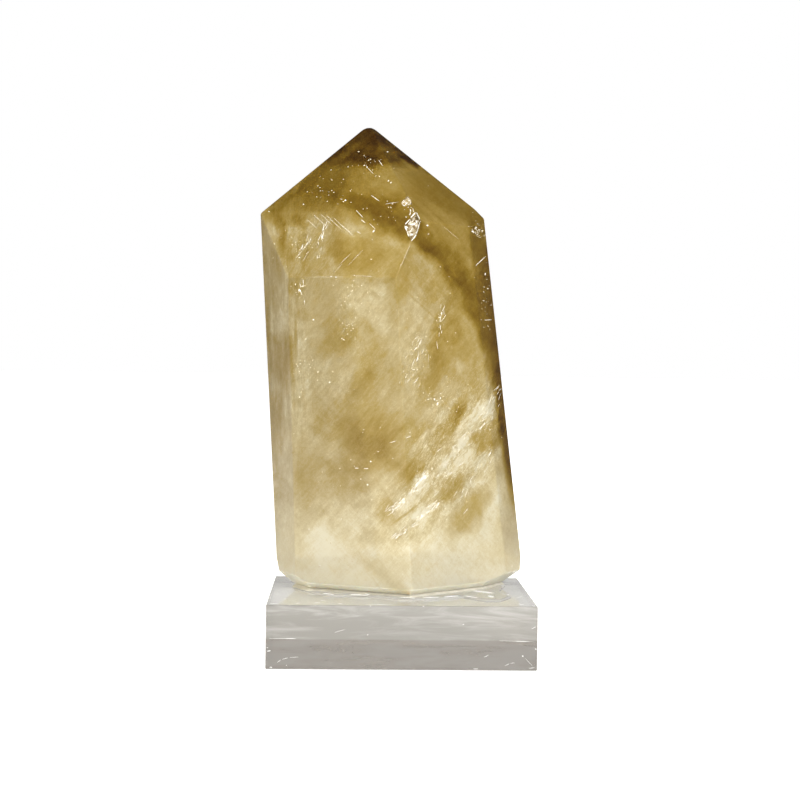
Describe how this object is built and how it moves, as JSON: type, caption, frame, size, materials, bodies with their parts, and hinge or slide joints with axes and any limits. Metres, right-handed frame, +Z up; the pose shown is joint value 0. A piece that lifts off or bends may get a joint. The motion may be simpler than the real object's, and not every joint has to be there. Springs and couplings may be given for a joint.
{
  "type": "citrine crystal point on an acrylic block",
  "caption": "Polished, cloudy honey citrine point with smoky zones, leaning slightly and glued upright on a clear acrylic display block.",
  "frame": {"origin": "the middle of the acrylic block's underside, on the surface that it stands on", "axes": "+Z is up, along the crystal's height. +X is along the block's long side, and the crystal's front edge and chipped corner face -Y."},
  "size_m": [0.0852, 0.0604, 0.1648],
  "materials": {
    "citrine": "polished",
    "clear_acrylic": "polished",
    "clear_glue": "gloss"
  },
  "bodies": {
    "root": {"citrine_point": "citrine", "acrylic_block": "clear_acrylic", "glue_film": "clear_glue"}
  },
  "joints": []
}
